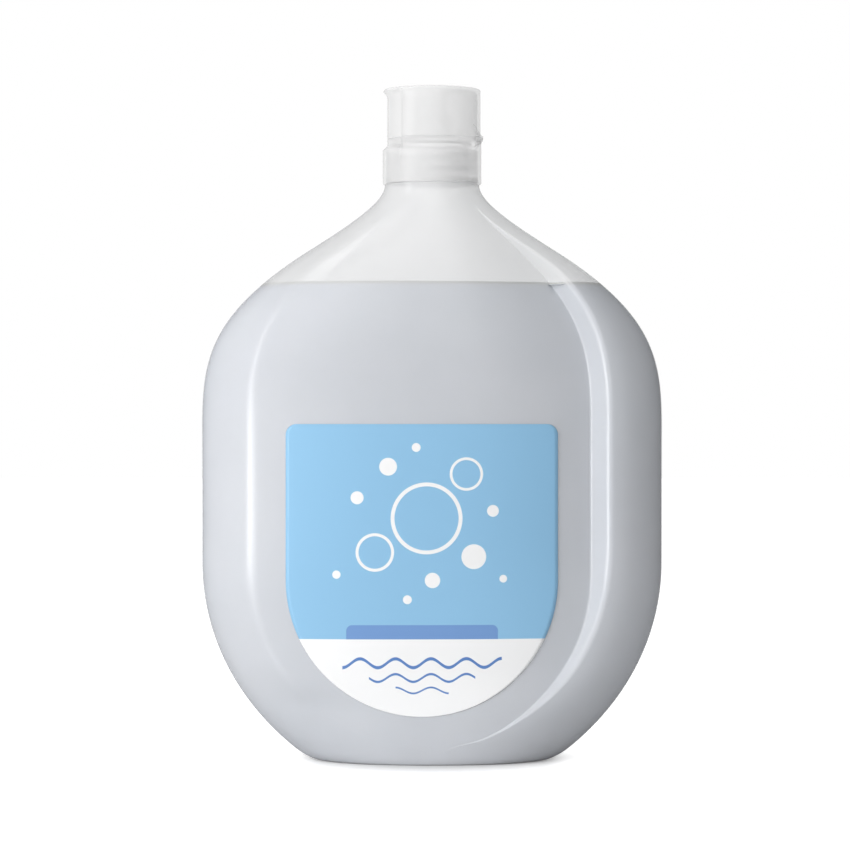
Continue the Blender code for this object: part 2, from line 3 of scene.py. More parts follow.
import bmesh
import bpy
from mathutils import Matrix, Vector


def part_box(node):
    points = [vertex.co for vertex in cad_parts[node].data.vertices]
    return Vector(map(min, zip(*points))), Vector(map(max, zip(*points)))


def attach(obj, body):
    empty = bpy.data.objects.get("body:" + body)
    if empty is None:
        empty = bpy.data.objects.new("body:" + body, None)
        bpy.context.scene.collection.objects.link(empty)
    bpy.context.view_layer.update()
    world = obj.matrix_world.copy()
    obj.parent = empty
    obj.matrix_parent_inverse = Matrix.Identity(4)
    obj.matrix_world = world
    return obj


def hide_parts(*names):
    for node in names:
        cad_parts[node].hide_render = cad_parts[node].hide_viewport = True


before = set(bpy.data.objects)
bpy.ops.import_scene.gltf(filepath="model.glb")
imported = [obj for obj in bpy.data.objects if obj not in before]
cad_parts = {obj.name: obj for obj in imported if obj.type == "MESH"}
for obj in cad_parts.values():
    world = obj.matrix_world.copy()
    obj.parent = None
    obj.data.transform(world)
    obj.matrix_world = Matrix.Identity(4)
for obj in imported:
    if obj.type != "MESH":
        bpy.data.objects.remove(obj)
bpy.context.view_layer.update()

# The stand: a pale floor, a white surround, and the camera of the photograph
# The bottle was photographed from 1.15 m away with a long lens, level with its middle. A broad
# softbox stands in front and a tall strip at the left, and the right side is left to fall away.
MM = 0.001

CAMERA_DISTANCE = 1.146
CAMERA_HEIGHT = 0.1156
CAMERA_X = -2.43 * MM
LENS_MM = 140.0
SENSOR_MM = 36.0
CLEAR_LAYERS = 32

SURROUND = (1.0, 1.0, 1.0)
SURROUND_LIGHT = 0.22
FLOOR_COLOUR = (0.80, 0.80, 0.805)
FLOOR_SIZE = 12.0
# To the camera the floor glows white away from the foot, and keeps its shadow near it. The near and
# the far glow start and end at multiples of the foot's oval, the side glow at distances from Y
FOOT_OVAL = (23.5 * MM, 24.0 * MM)
NEAR_GLOW = (0.95, 2.6)
NEAR_GLOW_STRENGTH = 0.66
FAR_GLOW = (2.0, 5.0)
FAR_GLOW_STRENGTH = 0.40
SIDE_GLOW = (37.0 * MM, 48.0 * MM)
SIDE_GLOW_STRENGTH = 0.30


def add_node(tree, kind, settings=None, inputs=None, output=0):
    """Add a node, with its settings first and then the values or links of its sockets."""
    node = tree.nodes.new(kind)
    for key, value in (settings or {}).items():
        setattr(node, key, value)
    for key, value in (inputs or {}).items():
        if isinstance(value, Reading):
            tree.links.new(value.socket, node.inputs[key])
        else:
            node.inputs[key].default_value = value
    return Reading(tree, node.outputs[output]) if node.outputs else None


class Reading:
    """What comes out of a node. Sums on a number that varies add the Math nodes that work it out."""

    def __init__(self, tree, socket):
        self.tree = tree
        self.socket = socket

    def _math(self, operation, first, second=None):
        inputs = {0: first} if second is None else {0: first, 1: second}
        return add_node(self.tree, "ShaderNodeMath", {"operation": operation}, inputs)

    def __add__(self, other):
        return self._math("ADD", self, other)

    def __radd__(self, other):
        return self._math("ADD", other, self)

    def __sub__(self, other):
        return self._math("SUBTRACT", self, other)

    def __rsub__(self, other):
        return self._math("SUBTRACT", other, self)

    def __mul__(self, other):
        return self._math("MULTIPLY", self, other)

    def __rmul__(self, other):
        return self._math("MULTIPLY", other, self)

    def __truediv__(self, other):
        return self._math("DIVIDE", self, other)

    def __pow__(self, other):
        return self._math("POWER", self, other)

    def __abs__(self):
        return self._math("ABSOLUTE", self)

    def sine(self):
        return self._math("SINE", self)

    def larger(self, other):
        return self._math("MAXIMUM", self, other)

    def over(self, low, high):
        """0 up to low, rising smoothly to 1 at high. High may be the lower of the two."""
        rising = low < high
        return add_node(self.tree, "ShaderNodeMapRange", {"interpolation_type": "SMOOTHSTEP"},
                        {"Value": self, "From Min": min(low, high), "From Max": max(low, high),
                         "To Min": 0.0 if rising else 1.0, "To Max": 1.0 if rising else 0.0}, "Result")

    def within(self, reach, soft):
        """1 below reach and 0 above it, with a soft edge on both sides of it."""
        return self.over(reach + soft, reach - soft)


class Finish:
    """One material: a Principled shader and the nodes that vary it over the surface."""

    def __init__(self, name, **constants):
        self.material = bpy.data.materials.new(name)
        self.material.use_nodes = True
        self.tree = self.material.node_tree
        self.shader = self.tree.nodes["Principled BSDF"]
        for socket, value in constants.items():
            self.set(socket.replace("_", " "), value)

    def add(self, kind, settings=None, inputs=None, output=0):
        return add_node(self.tree, kind, settings, inputs, output)

    def set(self, socket, value):
        if isinstance(value, Reading):
            self.tree.links.new(value.socket, self.shader.inputs[socket])
        else:
            self.shader.inputs[socket].default_value = value

    def place(self):
        """X, Y and Z of the point that is shaded, in metres."""
        spot = self.add("ShaderNodeTexCoord", output="Object")
        split = self.add("ShaderNodeSeparateXYZ", inputs={0: spot}).socket.node
        return [Reading(self.tree, out) for out in split.outputs]

    def noise(self, grain, detail=2.0):
        """Fine unevenness whose lumps are about grain metres across."""
        spot = self.add("ShaderNodeTexCoord", output="Object")
        return self.add("ShaderNodeTexNoise", inputs={"Vector": spot, "Scale": 1 / grain, "Detail": detail})

    def mix(self, share, first, second):
        """The first colour where share is 0, the second where it is 1 or more."""
        return self.add("ShaderNodeMix", {"data_type": "RGBA"},
                        {"Factor": share, 6: first, 7: second}, output=2)

    def bump(self, height, depth, strength):
        """Let a reading stand out of the surface by depth metres."""
        self.set("Normal", self.add("ShaderNodeBump", inputs={"Height": height, "Distance": depth,
                                                              "Strength": strength}))


camera = bpy.data.objects.new("camera", bpy.data.cameras.new("camera"))
bpy.context.collection.objects.link(camera)
camera.data.lens = LENS_MM
camera.data.sensor_width = SENSOR_MM
camera.location = (CAMERA_X, -CAMERA_DISTANCE, CAMERA_HEIGHT)
camera.rotation_euler = (math.pi / 2, 0, 0)
bpy.context.scene.camera = camera
bpy.context.scene.view_settings.view_transform = "Standard"
bpy.context.scene.cycles.transparent_max_bounces = CLEAR_LAYERS

surround = bpy.data.worlds.new("surround")
bpy.context.scene.world = surround
surround.use_nodes = True
sky = surround.node_tree
sky.nodes.clear()
seen = add_node(sky, "ShaderNodeBackground", inputs={"Color": (*SURROUND, 1)})
lit = add_node(sky, "ShaderNodeBackground", inputs={"Color": (*SURROUND, 1), "Strength": SURROUND_LIGHT})
to_camera = add_node(sky, "ShaderNodeLightPath", output="Is Camera Ray")
light = add_node(sky, "ShaderNodeMixShader", inputs={0: to_camera, 1: lit, 2: seen})
add_node(sky, "ShaderNodeOutputWorld", inputs={0: light})

floor_mesh = bpy.data.meshes.new("floor")
half = FLOOR_SIZE / 2
floor_mesh.from_pydata([(-half, -half, 0), (half, -half, 0), (half, half, 0), (-half, half, 0)], [],
                       [(0, 1, 2, 3)])
floor = bpy.data.objects.new("floor", floor_mesh)
bpy.context.collection.objects.link(floor)
floor_paint = Finish("pale floor", Base_Color=(*FLOOR_COLOUR, 1), Roughness=0.9, Specular_IOR_Level=0.0,
                     Emission_Strength=1.0)
floor_x, floor_y, _ = floor_paint.place()
away = ((floor_x / FOOT_OVAL[0]) ** 2 + (floor_y / FOOT_OVAL[1]) ** 2) ** 0.5
brightness = away.over(*NEAR_GLOW) * NEAR_GLOW_STRENGTH + away.over(*FAR_GLOW) * FAR_GLOW_STRENGTH
brightness = brightness + abs(floor_x).over(*SIDE_GLOW) * SIDE_GLOW_STRENGTH
glow = floor_paint.add("ShaderNodeLightPath", output="Is Camera Ray") * brightness
floor_paint.set("Emission Color", floor_paint.mix(glow, (0, 0, 0, 1), (1, 1, 1, 1)))
floor_mesh.materials.append(floor_paint.material)

# Each lamp: name, place, size, watts. All of them face the middle of the bottle
LAMPS = (
    ("strip at the left", (-1.08, -0.64, 0.22), (0.30, 1.4), 6.9),
    ("broad softbox", (-0.15, -1.50, 0.95), (1.7, 1.4), 11.8),
    ("low card at the left", (-0.60, -0.42, 0.07), (0.30, 0.12), 1.3),
    ("weak fill from above", (-0.3, -0.2, 1.5), (0.8, 0.8), 4.0),
)
LAMP_TARGET = Vector((0, 0, 0.12))
for lamp_name, place, (lamp_width, lamp_height), watts in LAMPS:
    lamp_data = bpy.data.lights.new(lamp_name, "AREA")
    lamp_data.shape = "RECTANGLE"
    lamp_data.size = lamp_width
    lamp_data.size_y = lamp_height
    lamp_data.energy = watts
    lamp = bpy.data.objects.new(lamp_name, lamp_data)
    lamp.location = place
    lamp.rotation_euler = (LAMP_TARGET - Vector(place)).to_track_quat("-Z", "Y").to_euler()
    lamp.visible_camera = False
    bpy.context.collection.objects.link(lamp)

# Bottle
# One blow-moulded piece of natural polyethylene, about 1 mm thick, milky and satin. Its front is a
# domed panel, flush with a soft crease at its left and sunk below the side band at its right, and
# the back is the same after half a turn. A moulding seam runs up both sides.
HALF_WIDTH = 79.5 * MM
HALF_DEPTH = 31.6 * MM
BASE_HALF = 38.0 * MM
FOOT_HALF = 49.2 * MM
FOOT_HEIGHT = 5.3 * MM
FOOT_ANGLE = math.radians(40.1)
SIDE_BOTTOM = 68.0 * MM
SIDE_TOP = 106.2 * MM
SHOULDER_HALF = 42.0 * MM
SHOULDER_HEIGHT = 176.3 * MM
SHOULDER_ANGLE = math.radians(147.9)
NECK_ROOT_RADIUS = 16.2 * MM
NECK_ROOT_HEIGHT = 198.7 * MM
# A thick wall would show a pale rim round the soap, so the wall that is seen is thinner than the real
SEEN_WALL = 0.15 * MM
SHARP_ANGLE = math.radians(38)

ROUND_SECTION = 2.0
BODY_SECTION_WIDE = 2.3
BODY_SECTION_DEEP = 2.1
DEPTH_LEAD = 1.6

PANEL_LEFT = 0.782
PANEL_RIGHT = 0.684
PANEL_CROWN = 0.88
PANEL_FLATNESS = 2.5
SIDE_TANGENT = 0.89
SIDE_TANGENT_FADE = (0.6, 0.75)
TANGENT_PROBE = 0.1 * MM
PANEL_LEFT_TURN_HEIGHT = 60.0 * MM
PANEL_RIGHT_TURN_HEIGHT = 66.0 * MM
PANEL_FOOT = 6.5 * MM
PANEL_LEFT_ROUND = 2.6
PANEL_RIGHT_ROUND = 2.75
PANEL_TURN_LIMIT = 0.999
STEP_SINK = 8.8 * MM
STEP_SINK_LOW = 0.42
STEP_SINK_RISE = (28.0 * MM, 78.0 * MM)
STEP_SLOPE = 1.12
STEP_SLANT_LIMIT = 3.0
STEP_LEAD = 1.1 * MM
STEP_TAIL = 1.2
STEP_EDGE_MARGIN = 1.2 * MM
STEP_EDGE_HALVINGS = 24
STEP_FULL_STRENGTH = 0.05
STEP_FOOT_SOFTNESS = 0.65 * MM
STEP_TOP_SOFTNESS = 2.0 * MM
FLANK_ROUND = 0.75
SOFTNESS_AT_ENDS = 0.3
CREASE_ROUND = 2.0 * MM
CREASE_PROBE = 0.05 * MM
PANEL_FADE_LOW = (3.0 * MM, 34.0 * MM)
PANEL_FADE_HIGH = (164.0 * MM, 193.0 * MM)

SEAM_HEIGHT = 0.16 * MM
SEAM_REACH = 0.8 * MM
SEAM_ANGLES = (0.0, 0.004, 0.009)
SIDE_START_ANGLE = 0.03
SIDE_COLUMNS = 18
PANEL_COLUMNS = 44
PANEL_EVENNESS = 0.55
STEP_COLUMNS = 30
OUTLINE_ROWS = (12, 36, 10, 44, 26)

STANDING_RIM = 9.0 * MM
PUSH_UP = 1.8 * MM
PUSH_UP_RINGS = ((0.08, 1.0), (0.35, 1.0), (0.6, 0.93), (0.8, 0.62), (0.93, 0.2), (0.98, 0.04))

NECK_RADIUS = 12.6 * MM
NECK_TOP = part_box("bottle")[1][2]
NECK_FILLET = 0.8 * MM
NECK_FILLET_BEND = 0.3
# The rounding at the neck's root and at its rim: inwards, and upwards or down from the rim
NECK_ROOT_ROUNDING = ((0.1 * MM, 0.06 * MM), (0.3 * MM, 0.08 * MM))
NECK_RIM_ROUNDING = ((0.0, 0.3 * MM), (0.1 * MM, 0.05 * MM), (0.35 * MM, 0.0))
SHOULDER_END = NECK_ROOT_HEIGHT + 0.07 * MM


def rgb(red, green, blue):
    """A colour written as screen values from 0 to 255, as Blender's linear colour."""
    def linear(value):
        share = value / 255
        return share / 12.92 if share <= 0.04045 else ((share + 0.055) / 1.055) ** 2.4
    return (linear(red), linear(green), linear(blue), 1.0)


def skin(name, rings, loop=False, close_first=False, close_last=False):
    """Quads between rings that have the same number of points. The ends may be closed or joined up."""
    count = len(rings[0])
    points = [tuple(point) for ring in rings for point in ring]
    faces = []
    pairs = list(zip(range(len(rings)), range(1, len(rings))))
    if loop:
        pairs.append((len(rings) - 1, 0))
    for low, high in pairs:
        for i in range(count):
            j = (i + 1) % count
            faces.append((low * count + i, low * count + j, high * count + j, high * count + i))
    for wanted, ring in ((close_first, 0), (close_last, len(rings) - 1)):
        if wanted:
            centre = sum((Vector(points[ring * count + i]) for i in range(count)), Vector()) / count
            points.append(tuple(centre))
            for i in range(count):
                j = (i + 1) % count
                corner = (ring * count + i, ring * count + j)
                faces.append((*(corner[::-1] if ring == 0 else corner), len(points) - 1))
    mesh = bpy.data.meshes.new(name)
    mesh.from_pydata(points, [], faces)
    mesh.shade_smooth()
    mesh.set_sharp_from_angle(angle=SHARP_ANGLE)
    piece = bpy.data.objects.new(name, mesh)
    bpy.context.collection.objects.link(piece)
    return piece


def finish_piece(piece, finish, body, slot, *nodes):
    piece.data.materials.clear()
    piece.data.materials.append(finish.material)
    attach(piece, body)
    if nodes:
        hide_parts(*nodes)


def ease(value, low, high):
    """0 up to low, rising smoothly to 1 at high."""
    t = min(1.0, max(0.0, (value - low) / (high - low)))
    return t * t * (3 - 2 * t)


def soft_minimum(first, second, softness):
    overlap = max(softness - abs(first - second), 0) / softness
    return min(first, second) - overlap * overlap * softness / 4


def soft_maximum(first, second, softness):
    return -soft_minimum(-first, -second, softness)


def outline():
    """Points up the body's right edge, as (half width, height), along five Bezier curves."""
    def way(angle):
        return Vector((math.cos(angle), math.sin(angle)))
    flat, upright = Vector((1, 0)), Vector((0, 1))
    # Each stop: its place, the way the edge runs there, the reach of the curve after it and before it
    stops = (
        (Vector((BASE_HALF, 0)), flat, 2.0 * MM, 0),
        (Vector((FOOT_HALF, FOOT_HEIGHT)), way(FOOT_ANGLE), 28.3 * MM, 8.1 * MM),
        (Vector((HALF_WIDTH, SIDE_BOTTOM)), upright, 13.3 * MM, 21.2 * MM),
        (Vector((HALF_WIDTH, SIDE_TOP)), upright, 28.0 * MM, 27.0 * MM),
        (Vector((SHOULDER_HALF, SHOULDER_HEIGHT)), way(SHOULDER_ANGLE), 18.6 * MM, 47.0 * MM),
        (Vector((NECK_ROOT_RADIUS, NECK_ROOT_HEIGHT)), upright, 0, 5.4 * MM),
    )
    points = [stops[0][0]]
    for (start, start_way, leave, _), (end, end_way, _, arrive), rows in zip(stops, stops[1:], OUTLINE_ROWS):
        first, second = start + start_way * leave, end - end_way * arrive
        for i in range(1, rows + 1):
            t = i / rows
            s = 1 - t
            points.append(start * s ** 3 + first * 3 * s * s * t + second * 3 * s * t * t + end * t ** 3)
    return points


OUTLINE = outline()


def half_width(height):
    for low, high in zip(OUTLINE, OUTLINE[1:]):
        if height <= high.y:
            return low.x + (high.x - low.x) * (height - low.y) / (high.y - low.y)
    return OUTLINE[-1].x


class Level:
    """One level of the body: its plain oval and the panel that is sunk into it."""

    def __init__(self, height, width=None):
        self.height = height
        self.width = width or half_width(height)
        full = min(1.0, max(0.0, (self.width - NECK_ROOT_RADIUS) / (HALF_WIDTH - NECK_ROOT_RADIUS)))
        self.deep = NECK_ROOT_RADIUS + (HALF_DEPTH - NECK_ROOT_RADIUS) * (1 - (1 - full) ** DEPTH_LEAD)
        self.wide_power = ROUND_SECTION + (BODY_SECTION_WIDE - ROUND_SECTION) * full
        self.deep_power = ROUND_SECTION + (BODY_SECTION_DEEP - ROUND_SECTION) * full
        self.strength = ease(height, *PANEL_FADE_LOW) * (1 - ease(height, *PANEL_FADE_HIGH))
        self.softness = max(SOFTNESS_AT_ENDS, self.strength)
        self.place_panel()
        self.place_step()

    def lower_corner(self, turn_height, roundness):
        """How far the level lies down the panel's round lower corner, and the width that is left."""
        sink = (turn_height - self.height) / (turn_height - PANEL_FOOT)
        sink = min(PANEL_TURN_LIMIT, max(0.0, sink))
        return sink, (1 - sink ** roundness) ** (1 / roundness)

    def place_panel(self):
        _, left_share = self.lower_corner(PANEL_LEFT_TURN_HEIGHT, PANEL_LEFT_ROUND)
        self.sink, right_share = self.lower_corner(PANEL_RIGHT_TURN_HEIGHT, PANEL_RIGHT_ROUND)
        self.left = -self.width * PANEL_LEFT * left_share
        self.right = self.width * PANEL_RIGHT * right_share
        self.left_depth = self.side(self.left)
        sink_share = STEP_SINK_LOW + (1 - STEP_SINK_LOW) * ease(self.height, *STEP_SINK_RISE)
        self.right_depth = self.oval(self.right) - STEP_SINK * sink_share
        self.crown = self.oval(0) * PANEL_CROWN - (self.left_depth + self.right_depth) / 2
        before = self.side(self.left) - self.side(self.left - CREASE_PROBE)
        after = self.panel(self.left + CREASE_PROBE) - self.panel(self.left)
        self.crease = max(0.0, before - after) / CREASE_PROBE * self.strength

    def place_step(self):
        """The step's wall leans less where its line runs aslant, so that it is as steep across it."""
        rise = half_width(self.height + MM) - half_width(self.height - MM)
        slope = rise / (2 * MM) * self.right / self.width
        if self.sink > 0:
            turn = PANEL_RIGHT_TURN_HEIGHT - PANEL_FOOT
            bend = self.sink ** (PANEL_RIGHT_ROUND - 1) / ((1 - self.sink ** PANEL_RIGHT_ROUND) * turn)
            slope += self.right * bend
        self.wall_slope = STEP_SLOPE / min(STEP_SLANT_LIMIT, math.sqrt(1 + slope * slope))
        self.foot = self.panel(self.right)
        self.step_start = self.right - STEP_LEAD * self.softness
        self.edge, beyond = self.right, self.width
        for _ in range(STEP_EDGE_HALVINGS):
            middle = (self.edge + beyond) / 2
            if self.oval(middle) > self.foot + (middle - self.right) * self.wall_slope:
                self.edge = middle
            else:
                beyond = middle
        self.step_end = min(self.edge + STEP_TOP_SOFTNESS * STEP_TAIL, self.width - STEP_EDGE_MARGIN)

    def oval(self, x):
        share = min(1.0, abs(x) / self.width)
        return self.deep * (1 - share ** self.wide_power) ** (1 / self.deep_power)

    def side(self, x):
        """The plain side. At the left it runs on straight to the crease, along a tangent of the oval."""
        touch = -self.width * SIDE_TANGENT
        if x <= touch or x > 0:
            return self.oval(x)
        slope = (self.oval(touch + TANGENT_PROBE) - self.oval(touch - TANGENT_PROBE)) / (2 * TANGENT_PROBE)
        tangent = self.oval(touch) + slope * (x - touch)
        return self.oval(x) + (tangent - self.oval(x)) * ease(-self.left / self.width, *SIDE_TANGENT_FADE)

    def flank(self, x):
        """The side beyond the step: nearly flat at the step's edge, then round to the seam."""
        share = max(0.0, (x - self.edge) / (self.width - self.edge))
        round_side = self.oval(self.edge) * math.sqrt(max(0.0, 1 - share * share))
        return self.oval(x) + (round_side - self.oval(x)) * FLANK_ROUND * self.strength

    def panel(self, x):
        along = min(1.0, (x - self.left) / (self.right - self.left))
        formed = self.left_depth + (self.right_depth - self.left_depth) * along
        formed += self.crown * (1 - abs(2 * along - 1) ** PANEL_FLATNESS)
        return self.oval(x) + (formed - self.oval(x)) * self.strength

    def front(self, x):
        """Depth of the front at x: the side, the crease, the panel, the step and the flank."""
        plain = self.oval(x)
        if x >= (self.left + self.right) / 2:
            wall = self.foot + (x - self.right) * self.wall_slope
            formed = soft_minimum(wall, self.flank(x), STEP_TOP_SOFTNESS * self.softness)
            if x <= self.edge:
                formed = soft_maximum(self.panel(x), formed, STEP_FOOT_SOFTNESS * self.softness)
            return plain + (formed - plain) * min(1.0, self.strength / STEP_FULL_STRENGTH)
        depth = self.panel(x) if x > self.left else plain + (self.side(x) - plain) * self.strength
        away = abs(x - self.left) / CREASE_ROUND
        if away < 1:
            depth -= self.crease * CREASE_ROUND * (1 - away) ** 2 / 4
        return depth

    def columns(self):
        """X of each point across the front, closer together at the crease, the step and the seams."""
        xs = [-self.width * math.cos(angle) for angle in SEAM_ANGLES]
        start = SIDE_START_ANGLE
        left_angle = math.acos(-self.left / self.width)
        xs += [-self.width * math.cos(start + (left_angle - start) * i / SIDE_COLUMNS)
               for i in range(SIDE_COLUMNS)]
        for i in range(PANEL_COLUMNS):
            t = i / PANEL_COLUMNS
            spread = PANEL_EVENNESS * t + (1 - PANEL_EVENNESS) * (1 - math.cos(math.pi * t)) / 2
            xs.append(self.left + (self.step_start - self.left) * spread)
        xs += [self.step_start + (self.step_end - self.step_start) * i / STEP_COLUMNS
               for i in range(STEP_COLUMNS)]
        top_angle = math.acos(self.step_end / self.width)
        xs += [self.width * math.cos(top_angle + (start - top_angle) * i / SIDE_COLUMNS)
               for i in range(SIDE_COLUMNS)]
        xs += [self.width * math.cos(angle) for angle in SEAM_ANGLES[:0:-1]]
        return xs

    def ring(self):
        """All points of the level: the front with the seam at its ends, and the same after half a turn."""
        half = []
        for x in self.columns():
            depth = self.front(x)
            seam = SEAM_HEIGHT * (1 - ease(depth, 0, SEAM_REACH))
            half.append(Vector((x + math.copysign(seam, x), -depth, self.height)))
        return half + [Vector((-point.x, -point.y, point.z)) for point in half]


def shrunk(ring, share, height):
    return [Vector((point.x * share, point.y * share, height)) for point in ring]


def round_ring(ring, radius, height):
    return [Vector((*point.xy.normalized() * radius, height)) for point in ring]


def base_rings(foot_ring):
    """The push-up and the flat standing rim, from the middle of the base outwards."""
    rim_share = (BASE_HALF - STANDING_RIM) / BASE_HALF
    inner = [shrunk(foot_ring, rim_share * share, PUSH_UP * rise) for share, rise in PUSH_UP_RINGS]
    return inner + [shrunk(foot_ring, rim_share, 0), shrunk(foot_ring, (1 + rim_share) / 2, 0)]


body = [Level(point.y, point.x).ring() for point in OUTLINE]
body = base_rings(body[0]) + body
bend = NECK_FILLET * NECK_FILLET_BEND
neck_profile = [(NECK_ROOT_RADIUS - inset, NECK_ROOT_HEIGHT + rise) for inset, rise in NECK_ROOT_ROUNDING]
neck_profile += [
    (NECK_RADIUS + NECK_FILLET, neck_profile[-1][1]),
    (NECK_RADIUS + bend, NECK_ROOT_HEIGHT + bend),
    (NECK_RADIUS, NECK_ROOT_HEIGHT + NECK_FILLET),
]
neck_profile += [(NECK_RADIUS - inset, NECK_TOP - drop) for inset, drop in NECK_RIM_ROUNDING]
neck = [round_ring(body[-1], radius, height) for radius, height in neck_profile]
bottle = skin("bottle_shell", body + neck, close_first=True)
wall = bottle.modifiers.new("wall", "SOLIDIFY")
wall.thickness = SEEN_WALL
wall.offset = -1
wall.material_offset = 1

CLOUD_SIZE = 38.0 * MM
CLOUD_EDGES = (0.3, 0.7)
BOTTLE_SHADES = (rgb(243, 244, 245), rgb(248, 248, 249))
BOTTLE_GRAIN = (1.6 * MM, 0.006 * MM)


def milky_plastic(name, shades, grain, roughness, alpha, gloss):
    """Natural plastic with faint clouds. Its share of alpha scatters, the rest lets light through."""
    finish = Finish(name, IOR=1.5, Specular_IOR_Level=gloss)
    grain_size, grain_depth = grain
    unevenness = finish.noise(grain_size, 3.0)
    cloud = finish.noise(CLOUD_SIZE, 2.0)
    finish.set("Base Color", finish.mix(cloud.over(*CLOUD_EDGES), *shades))
    finish.set("Roughness", roughness + unevenness * 0.06)
    finish.set("Alpha", alpha + cloud * 0.02)
    finish.bump(unevenness, grain_depth, 0.6)
    return finish


bottle_plastic = milky_plastic("natural bottle plastic", BOTTLE_SHADES, BOTTLE_GRAIN,
                               roughness=0.22, alpha=0.44, gloss=0.8)
bottle_inside = milky_plastic("inside of the bottle wall", BOTTLE_SHADES, BOTTLE_GRAIN,
                              roughness=0.4, alpha=0.06, gloss=0.8)
finish_piece(bottle, bottle_plastic, "bottle", "bottle_plastic", "bottle")
bottle.data.materials.append(bottle_inside.material)
for face in bottle.data.polygons:
    if face.center.z > SHOULDER_END:
        face.material_index = 1

# Screw thread of the neck
# Part of the same moulding: a low rounded ridge, one and a half turns round the neck. It shows
# faintly through the collar of the closure.
THREAD_PITCH = 4.8 * MM
THREAD_TURNS = 1.5
THREAD_ANGLE = math.radians(-125)
THREAD_CREST = 1.05 * MM
THREAD_WIDTH = 1.5 * MM
THREAD_ROOT = 0.1 * MM
THREAD_START = 203.0 * MM
THREAD_RUN_OUT = 12
THREAD_END_SIZE = 0.02
THREAD_STEPS = 150
THREAD_SECTION = 8
thread_rings = []
for i in range(THREAD_STEPS + 1):
    along = i / THREAD_STEPS
    turn = THREAD_ANGLE + math.tau * THREAD_TURNS * along
    size = math.sqrt(min(1.0, THREAD_RUN_OUT * along, THREAD_RUN_OUT * (1 - along))) + THREAD_END_SIZE
    ring = []
    for k in range(THREAD_SECTION):
        angle = math.tau * k / THREAD_SECTION
        reach = NECK_RADIUS - THREAD_ROOT + THREAD_CREST * size * max(0.0, math.cos(angle))
        rise = THREAD_WIDTH / 2 * size * math.sin(angle)
        height = THREAD_START + THREAD_PITCH * THREAD_TURNS * along + rise
        ring.append(Vector((reach * math.cos(turn), reach * math.sin(turn), height)))
    thread_rings.append(ring[::-1])
thread = skin("neck_thread", thread_rings, close_first=True, close_last=True)
thread_plastic = milky_plastic("thread of the neck", BOTTLE_SHADES, BOTTLE_GRAIN,
                               roughness=0.35, alpha=0.1, gloss=0.8)
finish_piece(thread, thread_plastic, "bottle", "bottle_plastic")

# Soap
# Clear gel with a faint cool tint. It fills the bottle to a level line in the shoulder, where it
# creeps up the wall a little. A thin grey band of painted shade just under the level stands in for the line
# seen at its edge.
FILL_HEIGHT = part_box("soap")[1][2]
SOAP_GAP = 0.05 * MM
SOAP_TOP_ROW = 0.5 * MM
MENISCUS_WIDTH = 2.4 * MM
MENISCUS_DEPTH = 1.0 * MM
# The rings inwards from the wall: share of the width that each adds, share of the depth it has
MENISCUS_RINGS = ((0.3, 0.6), (1.0, 1.0))
SOAP_SHARP_ANGLE = math.radians(40)
soap_levels = [point for point in OUTLINE if point.y < FILL_HEIGHT - SOAP_TOP_ROW]
soap_body = [Level(point.y, point.x).ring() for point in soap_levels]
soap_top = Level(FILL_HEIGHT).ring()
soap = skin("soap_gel", base_rings(soap_body[0]) + soap_body + [soap_top], close_first=True)
drawn_in = bmesh.new()
drawn_in.from_mesh(soap.data)
drawn_in.normal_update()
places = [vertex.co - vertex.normal * (SEEN_WALL + SOAP_GAP) for vertex in drawn_in.verts]
for vertex, spot in zip(drawn_in.verts, places):
    vertex.co = spot
    vertex.co.z = min(spot.z, FILL_HEIGHT)
rim = [edge for edge in drawn_in.edges if edge.is_boundary]
for vertex in {vertex for edge in rim for vertex in edge.verts}:
    vertex.co.z = FILL_HEIGHT
for width_share, depth_share in MENISCUS_RINGS:
    grown = bmesh.ops.extrude_edge_only(drawn_in, edges=rim)["geom"]
    rim = [item for item in grown if isinstance(item, bmesh.types.BMEdge) and item.is_boundary]
    for vertex in {vertex for edge in rim for vertex in edge.verts}:
        reach = vertex.co.xy.length
        vertex.co.xy *= (reach - MENISCUS_WIDTH * width_share) / reach
        vertex.co.z = FILL_HEIGHT - MENISCUS_DEPTH * depth_share
bmesh.ops.edgeloop_fill(drawn_in, edges=rim)
bmesh.ops.recalc_face_normals(drawn_in, faces=drawn_in.faces)
drawn_in.to_mesh(soap.data)
drawn_in.free()
soap.data.shade_smooth()
soap.data.set_sharp_from_angle(angle=SOAP_SHARP_ANGLE)

# Painted shade at the soap's level line: depths under the level where the grey band starts to fade in and
# where it is full
LEVEL_SHADE_DEPTHS = (1.6 * MM, 0.2 * MM)
SWIRL_SIZE = 30.0 * MM
SWIRL_EDGES = (0.35, 0.65)
GEL_SHADES = (rgb(196, 202, 213), rgb(200, 206, 216))
LEVEL_SHADE_GREY = rgb(190, 191, 187)
gel = Finish("clear soap gel", Roughness=0.5, IOR=1.36, Specular_IOR_Level=0.2)
_, _, gel_height = gel.place()
# A thin grey band of painted shade just under the soap's level, mixed into the gel's colour
painted_level_shade = gel_height.over(FILL_HEIGHT - LEVEL_SHADE_DEPTHS[0], FILL_HEIGHT - LEVEL_SHADE_DEPTHS[1])
swirl = gel.noise(SWIRL_SIZE, 1.0).over(*SWIRL_EDGES)
gel.set("Base Color", gel.mix(painted_level_shade, gel.mix(swirl, *GEL_SHADES), LEVEL_SHADE_GREY))
finish_piece(soap, gel, "bottle", "soap", "soap")

